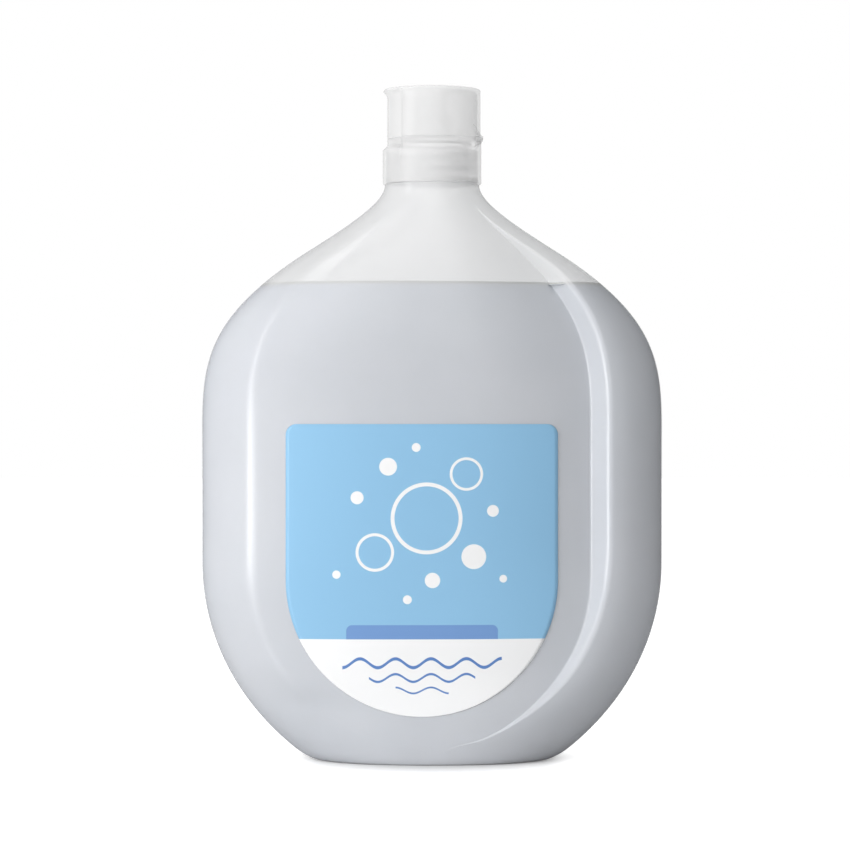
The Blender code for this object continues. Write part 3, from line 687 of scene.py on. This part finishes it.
# Closure, lower part
# One moulding of natural polypropylene: a collar over the neck with an inner sleeve, a deck and the
# pour spout. The thumb recess is cut into its top edge at -X.
COLLAR_RADIUS = 17.1 * MM
COLLAR_WALL = 1.3 * MM
COLLAR_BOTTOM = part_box("closure_base")[0][2]
COLLAR_EDGE = 0.08 * MM
COLLAR_FOOT_ROUND = 0.6 * MM
COLLAR_FOOT_TOP = 0.9 * MM
SPOUT_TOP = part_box("closure_base")[1][2]
LID_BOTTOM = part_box("flip_lid")[0][2]
LID_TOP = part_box("flip_lid")[1][2]
LID_RADIUS = 16.8 * MM
DECK_TOP = LID_BOTTOM - 0.3 * MM
DECK_BOTTOM = DECK_TOP - 1.2 * MM
SLEEVE_RADIUS = 14.05 * MM
SLEEVE_OUTER = 15.1 * MM
SLEEVE_BOTTOM = 202.8 * MM
CROWN = DECK_TOP - 4.2 * MM
SPOUT_RADIUS = 7.0 * MM
SPOUT_BORE = 6.0 * MM
SPOUT_LIP_ROUND = 0.3 * MM
SPOUT_FOOT_ROUND = 0.5 * MM
RECESS_DEPTH = 1.3 * MM
RECESS_HALF_ANGLE = math.radians(52)
RECESS_BLEND = math.radians(3.5)
RECESS_FLOOR = DECK_TOP - 4.0 * MM
RECESS_SHOULDER = 1.6 * MM
RECESS_SHOULDER_STEPS = 8
RECESS_SHOULDER_LEAD = 0.1 * MM
INSIDE_MARGIN = 0.5 * MM
FACING_UP = 0.9
TURN_STEPS = 240


def recess(angle):
    """Depth of the thumb recess at an angle about Z, with its middle at -X."""
    away = abs(math.remainder(angle - math.pi, math.tau))
    return RECESS_DEPTH * (1 - ease(away, RECESS_HALF_ANGLE - RECESS_BLEND, RECESS_HALF_ANGLE))


def turned_rings(profile):
    """Rings of (radius, height, share of the recess), from top to bottom down the outer side."""
    rings = []
    for radius, height, share in profile:
        ring = []
        for i in range(TURN_STEPS):
            angle = math.tau * i / TURN_STEPS
            reach = radius - recess(angle) * share
            ring.append(Vector((reach * math.cos(angle), reach * math.sin(angle), height)))
        rings.append(ring)
    return rings


def inside_below(piece, finish, radius):
    """Give the faces that lie within a radius about Z, and don't face up, the finish of the inside."""
    piece.data.materials.append(finish.material)
    for face in piece.data.polygons:
        if face.center.xy.length < radius and face.normal.z < FACING_UP:
            face.material_index = 1


def arc(centre, radius, start, end, count, share=0.0):
    """Profile points on an arc, its angles in degrees from +X towards +Z."""
    points = []
    for i in range(count):
        angle = math.radians(start + (end - start) * i / (count - 1))
        points.append((centre[0] + radius * math.cos(angle), centre[1] + radius * math.sin(angle), share))
    return points


cut_share = (RECESS_DEPTH + COLLAR_RADIUS - LID_RADIUS) / RECESS_DEPTH
shoulder_points = []
for i in range(RECESS_SHOULDER_STEPS + 1):
    left_over = 1 - math.sin(math.pi / 2 * i / RECESS_SHOULDER_STEPS)
    shoulder_points.append((COLLAR_RADIUS, RECESS_FLOOR + RECESS_SHOULDER * left_over, cut_share * left_over))
collar_inside = COLLAR_RADIUS - COLLAR_WALL
foot_radius, foot_height = COLLAR_RADIUS - COLLAR_FOOT_ROUND, COLLAR_BOTTOM + COLLAR_FOOT_ROUND
lip_height = SPOUT_TOP - SPOUT_LIP_ROUND
collar_profile = (
    arc((COLLAR_RADIUS - COLLAR_EDGE, DECK_TOP - COLLAR_EDGE), COLLAR_EDGE, 90, 0, 5, cut_share)
    + [(COLLAR_RADIUS, RECESS_FLOOR + RECESS_SHOULDER + RECESS_SHOULDER_LEAD, cut_share)]
    + shoulder_points
    + [(COLLAR_RADIUS, COLLAR_BOTTOM + COLLAR_FOOT_TOP, 0)]
    + arc((foot_radius, foot_height), COLLAR_FOOT_ROUND, 0, -90, 6)
    + [
        (collar_inside, COLLAR_BOTTOM, 0),
        (collar_inside, CROWN, 0),
        (SLEEVE_OUTER, CROWN, 0),
        (SLEEVE_OUTER, SLEEVE_BOTTOM, 0),
        (SLEEVE_RADIUS, SLEEVE_BOTTOM, 0),
        (SLEEVE_RADIUS, DECK_BOTTOM, 0),
        (SPOUT_BORE, DECK_BOTTOM, 0),
        (SPOUT_BORE, lip_height, 0),
    ]
    + arc((SPOUT_BORE + SPOUT_LIP_ROUND, lip_height), SPOUT_LIP_ROUND, 180, 90, 4)
    + arc((SPOUT_RADIUS - SPOUT_LIP_ROUND, lip_height), SPOUT_LIP_ROUND, 90, 0, 4)
    + [(SPOUT_RADIUS, DECK_TOP + SPOUT_FOOT_ROUND, 0)]
    + arc((SPOUT_RADIUS + SPOUT_FOOT_ROUND, DECK_TOP + SPOUT_FOOT_ROUND), SPOUT_FOOT_ROUND, 180, 270, 4)
)
collar = skin("closure_collar", turned_rings(collar_profile)[::-1], loop=True)

CLOSURE_SHADES = (rgb(243, 243, 243), rgb(248, 248, 248))
CLOSURE_GRAIN = (1.4 * MM, 0.002 * MM)
closure_plastic = milky_plastic("natural closure plastic", CLOSURE_SHADES, CLOSURE_GRAIN,
                                roughness=0.3, alpha=0.27, gloss=0.5)
closure_inside = milky_plastic("inside of the closure", CLOSURE_SHADES, CLOSURE_GRAIN,
                               roughness=0.35, alpha=0.06, gloss=0.5)
finish_piece(collar, closure_plastic, "bottle", "closure_plastic", "closure_base")
inside_below(collar, closure_inside, COLLAR_RADIUS - RECESS_DEPTH - INSIDE_MARGIN)

# Ratchet teeth
# Two rings of small slanted teeth, one at the foot of the neck and one inside the collar, which lock
# the closure on the bottle. They are moulded with their pieces and show as ticks through the collar.
TEETH = 24
TOOTH_VALLEY = 13.7 * MM
TOOTH_DEPTH = 0.9 * MM
TOOTH_RISE = 2.0 * MM
# Each tooth's points: share of the pitch, share of the depth
TOOTH_POINTS = ((0.0, 0.0), (0.45, 0.5), (0.92, 1.0))
NECK_TEETH_BACK = NECK_RADIUS - 0.05 * MM
COLLAR_TEETH_OUT = 0.36 * MM
COLLAR_TEETH_TURN = math.radians(1)
COLLAR_TEETH_BACK = COLLAR_RADIUS - COLLAR_WALL * 0.9
COLLAR_TEETH_BOTTOM = 0.4 * MM


def tooth_band(name, extra, turn, back, bottom, top, finish, slot):
    outer, inner = [], []
    for i in range(TEETH):
        for share, rise in TOOTH_POINTS:
            angle = math.tau * (i + share) / TEETH + turn
            radius = TOOTH_VALLEY + extra + TOOTH_DEPTH * rise
            outer.append(Vector((math.cos(angle), math.sin(angle))) * radius)
            inner.append(Vector((math.cos(angle), math.sin(angle))) * back)
    if back > TOOTH_VALLEY:
        outer, inner = inner, outer
    rings = [[Vector((*point, height)) for point in line]
             for line, height in ((outer, bottom), (outer, top), (inner, top), (inner, bottom))]
    finish_piece(skin(name, rings, loop=True), finish, "bottle", slot)


tooth_band("neck_ratchet", 0, 0, NECK_TEETH_BACK, NECK_ROOT_HEIGHT, NECK_ROOT_HEIGHT + TOOTH_RISE,
           bottle_inside, "bottle_plastic")
tooth_band("collar_ratchet", COLLAR_TEETH_OUT, COLLAR_TEETH_TURN, COLLAR_TEETH_BACK,
           COLLAR_BOTTOM + COLLAR_TEETH_BOTTOM, COLLAR_BOTTOM + TOOTH_RISE, closure_plastic,
           "closure_plastic")

# Sealing liner
# A ring of white foam between the deck and the rim of the neck. The CAD ring stays and gets its
# finish.
FOAM_CELL = 0.5 * MM
FOAM_CELL_DEPTH = 0.05 * MM
FOAM_SHADES = (rgb(214, 214, 212), rgb(232, 232, 231))
foam = Finish("white liner foam", Roughness=0.85, Alpha=0.2)
cells = foam.noise(FOAM_CELL, 3.0)
foam.set("Base Color", foam.mix(cells, *FOAM_SHADES))
foam.bump(cells, FOAM_CELL_DEPTH, 0.5)
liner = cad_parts["closure_liner"]
liner.data.materials.clear()
liner.data.materials.append(foam.material)

# Lid
# The upper part of the same closure moulding: a flat-topped cap with a lip over the thumb recess. A
# plug ring hangs from its top and closes the spout.
LIP_NOSE = 0.75 * MM
LIP_HEIGHT = 3.1 * MM
LIP_STEPS = 12
# The lip's S-curve: how far down its two middle handles lie, and how far out the lower one
LIP_HANDLE_DROPS = (0.7 * MM, 0.5 * MM)
LIP_HANDLE_SHARE = 0.8
LID_EDGE = 0.7 * MM
LID_WALL = 1.1 * MM
LID_FOOT = DECK_TOP + 0.08 * MM
LID_FOOT_ROUND = 0.06 * MM
LID_MIDDLE = 0.2 * MM
# The faint dish of the top, outside the middle: share of the radius, depth
LID_DISH_DEPTH = 0.12 * MM
LID_DISH = ((0.35, 0.1 * MM), (0.8, 0.02 * MM))
CEILING_ROUND = 0.6 * MM
PLUG_RADIUS = SPOUT_BORE - 0.3 * MM
PLUG_INNER = PLUG_RADIUS - 0.9 * MM
PLUG_BOTTOM = SPOUT_TOP - 0.8 * MM
PLUG_BEVEL = 0.5 * MM
PLUG_TAPER = 0.1 * MM
PLUG_ROOT_OUTSIDE = 0.4 * MM
PLUG_ROOT_INSIDE = 0.3 * MM
lip_points = []
for i in range(LIP_STEPS + 1):
    t = i / LIP_STEPS
    s = 1 - t
    share = 3 * s * t * t * LIP_HANDLE_SHARE + t ** 3
    drop = 3 * s * s * t * LIP_HANDLE_DROPS[0] + 3 * s * t * t * LIP_HANDLE_DROPS[1]
    drop += t ** 3 * (LIP_HEIGHT - LIP_NOSE)
    lip_points.append((LID_RADIUS, LID_TOP - LIP_NOSE - drop, share))
ceiling = LID_TOP - LID_WALL
inner_wall = LID_RADIUS - LID_WALL
foot_corner = (LID_RADIUS - LID_FOOT_ROUND, LID_FOOT + LID_FOOT_ROUND)
lid_profile = (
    [(LID_MIDDLE, LID_TOP - LID_DISH_DEPTH, 0)]
    + [(LID_RADIUS * share, LID_TOP - depth, 0) for share, depth in LID_DISH]
    + arc((LID_RADIUS - LID_EDGE, LID_TOP - LID_EDGE), LID_EDGE, 90, 0, 7)
    + lip_points
    + [(LID_RADIUS, LID_FOOT + LID_FOOT_ROUND, 1)]
    + arc(foot_corner, LID_FOOT_ROUND, 0, -90, 3, 1)
    + [
        (inner_wall, LID_FOOT, 1),
        (inner_wall, ceiling - CEILING_ROUND, 1),
        (inner_wall - CEILING_ROUND, ceiling, 1),
        (PLUG_RADIUS + PLUG_ROOT_OUTSIDE, ceiling, 0),
        (PLUG_RADIUS, ceiling - PLUG_ROOT_OUTSIDE, 0),
        (PLUG_RADIUS, SPOUT_TOP, 0),
        (PLUG_RADIUS - PLUG_BEVEL, PLUG_BOTTOM, 0),
        (PLUG_INNER - PLUG_TAPER, PLUG_BOTTOM, 0),
        (PLUG_INNER, ceiling - PLUG_ROOT_INSIDE, 0),
        (PLUG_INNER - PLUG_ROOT_INSIDE, ceiling, 0),
        (LID_MIDDLE, ceiling, 0),
    ]
)
lid = skin("lid_cap", turned_rings(lid_profile)[::-1], close_first=True, close_last=True)
finish_piece(lid, closure_plastic, "lid", "closure_plastic", "flip_lid")
inside_below(lid, closure_inside, LID_RADIUS - RECESS_DEPTH - INSIDE_MARGIN)

# Hinge
# A thin strap moulded between the lid and the collar at +X. Closed, it folds out to a small nose,
# half of it on the lid and half on the collar. Two low ribs run out from it on each of them.
HINGE_X = 17.7 * MM
HINGE_HALF_WIDTH = 8.0 * MM
HINGE_LEAF = 1.6 * MM
HINGE_ROOT = 0.15 * MM
HINGE_STATIONS = 25
# The nose is shortest at its two ends: its share of the full reach there, and how fast it grows
NOSE_LEAST = 0.25
NOSE_END = 0.15
NOSE_GROWTH = 9
NOSE_BEVEL = (0.15 * MM, 0.12 * MM)
NOSE_MIDDLE = (0.4, 0.5)
NOSE_TIP = 0.1 * MM
RIB_OUT = 0.22 * MM
RIB_WIDTH = 0.5 * MM
RIB_ROOT = 0.1 * MM
# Across the rib: how far each point stands out of the wall, and its share of the half width
RIB_SECTION = ((-RIB_ROOT, -1), (RIB_OUT, -0.45), (RIB_OUT, 0.45), (-RIB_ROOT, 1))
RIB_START = 3.0 * MM
RIB_RUN = 6.0 * MM
RIB_STEPS = 11
UPPER_RIB = (0.6 * MM, 4.2 * MM)
LOWER_RIB = (0.6 * MM, 3.4 * MM)


def hinge_leaf(name, flat, tip, wall_radius, body):
    """Half of the nose: a wedge from its flat side at the fold to its tip on the round wall."""
    sign = 1 if tip > flat else -1
    bevel_in, bevel_up = NOSE_BEVEL
    middle_in, middle_up = NOSE_MIDDLE
    rings = []
    for i in range(HINGE_STATIONS):
        y = HINGE_HALF_WIDTH * (2 * i / (HINGE_STATIONS - 1) - 1)
        root = math.sqrt((wall_radius - HINGE_ROOT) ** 2 - y * y)
        end = min(1.0, (1 - abs(y) / HINGE_HALF_WIDTH) * NOSE_GROWTH + NOSE_END)
        nose = root + (HINGE_X - root) * (NOSE_LEAST + (1 - NOSE_LEAST) * end)
        section = [(root, flat), (nose - bevel_in, flat), (nose, flat + sign * bevel_up),
                   (nose - (nose - root) * middle_in, flat + (tip - flat) * middle_up),
                   (root + NOSE_TIP, tip), (root, tip)]
        if sign < 0:
            section = section[::-1]
        rings.append([Vector((x, y, z)) for x, z in section])
    leaf = skin(name, rings[::-1], close_first=True, close_last=True)
    finish_piece(leaf, closure_plastic, body, "closure_plastic")


def hinge_rib(name, side, near, far, wall_radius, body):
    """A low rib on the round wall that runs outwards from the fold, on one side of it."""
    rings = []
    for i in range(RIB_STEPS + 1):
        t = i / RIB_STEPS
        angle = side * math.asin((RIB_START + RIB_RUN * t) / wall_radius)
        height = near + (far - near) * t
        ring = []
        for out, along in RIB_SECTION:
            reach = wall_radius + out
            turn = angle + along * RIB_WIDTH / 2 / wall_radius
            ring.append(Vector((reach * math.cos(turn), reach * math.sin(turn), height)))
        rings.append(ring)
    rib = skin(name, rings, close_first=True, close_last=True)
    finish_piece(rib, closure_plastic, body, "closure_plastic")


hinge_leaf("hinge_leaf_lower", DECK_TOP, DECK_TOP - HINGE_LEAF, COLLAR_RADIUS, "bottle")
hinge_leaf("hinge_leaf_upper", LID_BOTTOM, LID_BOTTOM + HINGE_LEAF, LID_RADIUS, "lid")
for side, side_name in ((-1, "front"), (1, "back")):
    near, far = UPPER_RIB
    hinge_rib(f"hinge_rib_upper_{side_name}", side, LID_BOTTOM + near, LID_BOTTOM + far, LID_RADIUS, "lid")
    near, far = LOWER_RIB
    hinge_rib(f"hinge_rib_lower_{side_name}", side, DECK_TOP - near, DECK_TOP - far, COLLAR_RADIUS, "bottle")

# Labels
# Printed plastic film, stuck on the panels: straight at the top, a half round below. The front has a
# sky-blue field over a white one. Its print is a generic pattern of bubbles and waves.
LABEL_HALF = 46.2 * MM
LABEL_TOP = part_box("front_label")[1][2]
LABEL_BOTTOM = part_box("front_label")[0][2]
LABEL_CORNER = 3.6 * MM
LABEL_X = -3.4 * MM
LABEL_GAP = 0.1 * MM
LABEL_THICKNESS = 0.15 * MM
LABEL_COLUMNS = 64
LABEL_ROUND_ROWS = 40
LABEL_STRAIGHT_ROWS = 24
LABEL_CORNER_ROWS = 8
FILM_GRAIN = 0.35 * MM
FILM_GRAIN_DEPTH = 0.004 * MM
FILM_ROUGHNESS = 0.42


def label_rows():
    """Each row's height and half width, up the half round, the straight sides and the top corners."""
    centre = LABEL_BOTTOM + LABEL_HALF
    straight_top = LABEL_TOP - LABEL_CORNER
    rows = []
    for i in range(1, LABEL_ROUND_ROWS + 1):
        angle = math.pi / 2 * i / LABEL_ROUND_ROWS
        rows.append((centre - LABEL_HALF * math.cos(angle), LABEL_HALF * math.sin(angle)))
    for i in range(1, LABEL_STRAIGHT_ROWS + 1):
        rows.append((centre + (straight_top - centre) * i / LABEL_STRAIGHT_ROWS, LABEL_HALF))
    for i in range(1, LABEL_CORNER_ROWS + 1):
        angle = math.pi / 2 * i / LABEL_CORNER_ROWS
        rows.append((straight_top + LABEL_CORNER * math.sin(angle),
                     LABEL_HALF - LABEL_CORNER * (1 - math.cos(angle))))
    return rows


def label(name, node, turn, finish):
    """A film on the panel, with its lowest point joined to the first row."""
    points, faces = [], []
    rows = label_rows()
    for height, half in rows:
        level = Level(height)
        for i in range(LABEL_COLUMNS + 1):
            x = LABEL_X + half * (2 * i / LABEL_COLUMNS - 1)
            points.append((x, -level.front(x) - LABEL_GAP, height))
    foot = Level(LABEL_BOTTOM)
    points.append((LABEL_X, -foot.front(LABEL_X) - LABEL_GAP, LABEL_BOTTOM))
    across = LABEL_COLUMNS + 1
    for row in range(len(rows) - 1):
        for i in range(LABEL_COLUMNS):
            corner = row * across + i
            faces.append((corner, corner + 1, corner + across + 1, corner + across))
    faces += [(len(points) - 1, i + 1, i) for i in range(LABEL_COLUMNS)]
    mesh = bpy.data.meshes.new(name)
    mesh.from_pydata(points, [], faces)
    mesh.transform(Matrix.Rotation(turn, 4, "Z"))
    mesh.shade_smooth()
    film = bpy.data.objects.new(name, mesh)
    bpy.context.collection.objects.link(film)
    sheet = film.modifiers.new("film", "SOLIDIFY")
    sheet.thickness = LABEL_THICKNESS
    sheet.offset = 1
    finish_piece(film, finish, "bottle", "label_film", node)


def place_on_label(finish, turn):
    """X across the label from its middle, seen from its own side, and height, in millimetres."""
    x, _, z = finish.place()
    side = 1 if turn == 0 else -1
    return (x * side - LABEL_X) / MM, z / MM


def printed_film(finish, colour):
    """Satin film with a faint grain, under its printed colour."""
    grain = finish.noise(FILM_GRAIN, 2.0)
    finish.set("Base Color", colour)
    finish.set("Roughness", FILM_ROUGHNESS + grain * 0.08)
    finish.bump(grain, FILM_GRAIN_DEPTH, 0.4)


# Places and sizes of the print are in millimetres
FIELD_LINE = 43.1
TAB_HALF = 25.7
TAB_HEIGHT = 4.8
TAB_CORNER = 2.0
PRINT_SOFT = 0.12
SKY_BLUE = rgb(149, 200, 235)
TAB_BLUE = rgb(120, 160, 215)
PRINT_WHITE = rgb(255, 255, 255)
INK_BLUE = rgb(92, 136, 200)
# Bubbles: across from the middle, height, radius, width of the ring's line or 0 for a full disc
BUBBLES = (
    (1.5, 84.0, 11.5, 1.3), (-16.0, 72.5, 6.0, 1.0), (17.5, 71.0, 4.2, 0.0), (15.0, 99.0, 5.2, 0.9),
    (-11.5, 101.5, 3.0, 0.0), (-22.0, 91.0, 2.2, 0.0), (3.5, 63.0, 2.6, 0.0), (24.0, 86.5, 2.0, 0.0),
    (-5.0, 56.5, 1.5, 0.0), (27.5, 63.5, 1.3, 0.0), (-29.0, 65.0, 1.4, 0.0), (-2.0, 108.0, 1.5, 0.0),
)
# Waves in the white field: height, rise, length of one wave, half the stripe's width, half its reach
WAVES = ((35.0, 1.5, 12.0, 0.55, 27.0), (30.0, 1.3, 12.0, 0.4, 18.0), (25.8, 1.0, 12.0, 0.3, 9.0))

front_print = Finish("front label print", IOR=1.45)
across, up = place_on_label(front_print, 0)
white = up.within(FIELD_LINE, PRINT_SOFT)
for middle, height, radius, line in BUBBLES:
    away = ((across - middle) ** 2 + (up - height) ** 2) ** 0.5
    bubble = abs(away - radius).within(line / 2, PRINT_SOFT) if line else away.within(radius, PRINT_SOFT)
    white = white.larger(bubble)
corner_x = (abs(across) - (TAB_HALF - TAB_CORNER)).larger(0.0)
corner_z = (up - (FIELD_LINE + TAB_HEIGHT - TAB_CORNER)).larger(0.0)
tab = ((corner_x ** 2 + corner_z ** 2) ** 0.5).within(TAB_CORNER, PRINT_SOFT)
tab = tab * up.over(FIELD_LINE - PRINT_SOFT, FIELD_LINE + PRINT_SOFT)
ink = None
for height, rise, length, half_line, reach in WAVES:
    crest = (across * (math.tau / length)).sine() * rise + height
    stroke = abs(up - crest).within(half_line, PRINT_SOFT) * abs(across).within(reach, PRINT_SOFT)
    ink = stroke if ink is None else ink.larger(stroke)
print_colour = front_print.mix(white, SKY_BLUE, PRINT_WHITE)
print_colour = front_print.mix(tab, print_colour, TAB_BLUE)
print_colour = front_print.mix(ink, print_colour, INK_BLUE)
printed_film(front_print, print_colour)
label("front_label_film", "front_label", 0, front_print)

# Plain rules in place of the text that a back label carries, under a blue head
HEAD_LINE = 98.0
RULES = 9
TOP_RULE = 90.0
RULE_PITCH = 5.2
RULE_HALF_LINE = 0.42
RULE_REACHES = (36.0, 32.0, 28.0)
RULE_GREY = rgb(176, 190, 206)

back_print = Finish("back label print", IOR=1.45)
across, up = place_on_label(back_print, math.pi)
head = up.over(HEAD_LINE - PRINT_SOFT, HEAD_LINE + PRINT_SOFT)
rules = None
for row in range(RULES):
    reach = RULE_REACHES[row % len(RULE_REACHES)]
    stroke = abs(up - (TOP_RULE - row * RULE_PITCH)).within(RULE_HALF_LINE, PRINT_SOFT)
    stroke = stroke * abs(across).within(reach, PRINT_SOFT)
    rules = stroke if rules is None else rules.larger(stroke)
print_colour = back_print.mix(head, PRINT_WHITE, SKY_BLUE)
print_colour = back_print.mix(rules, print_colour, RULE_GREY)
printed_film(back_print, print_colour)
label("back_label_film", "back_label", math.pi, back_print)
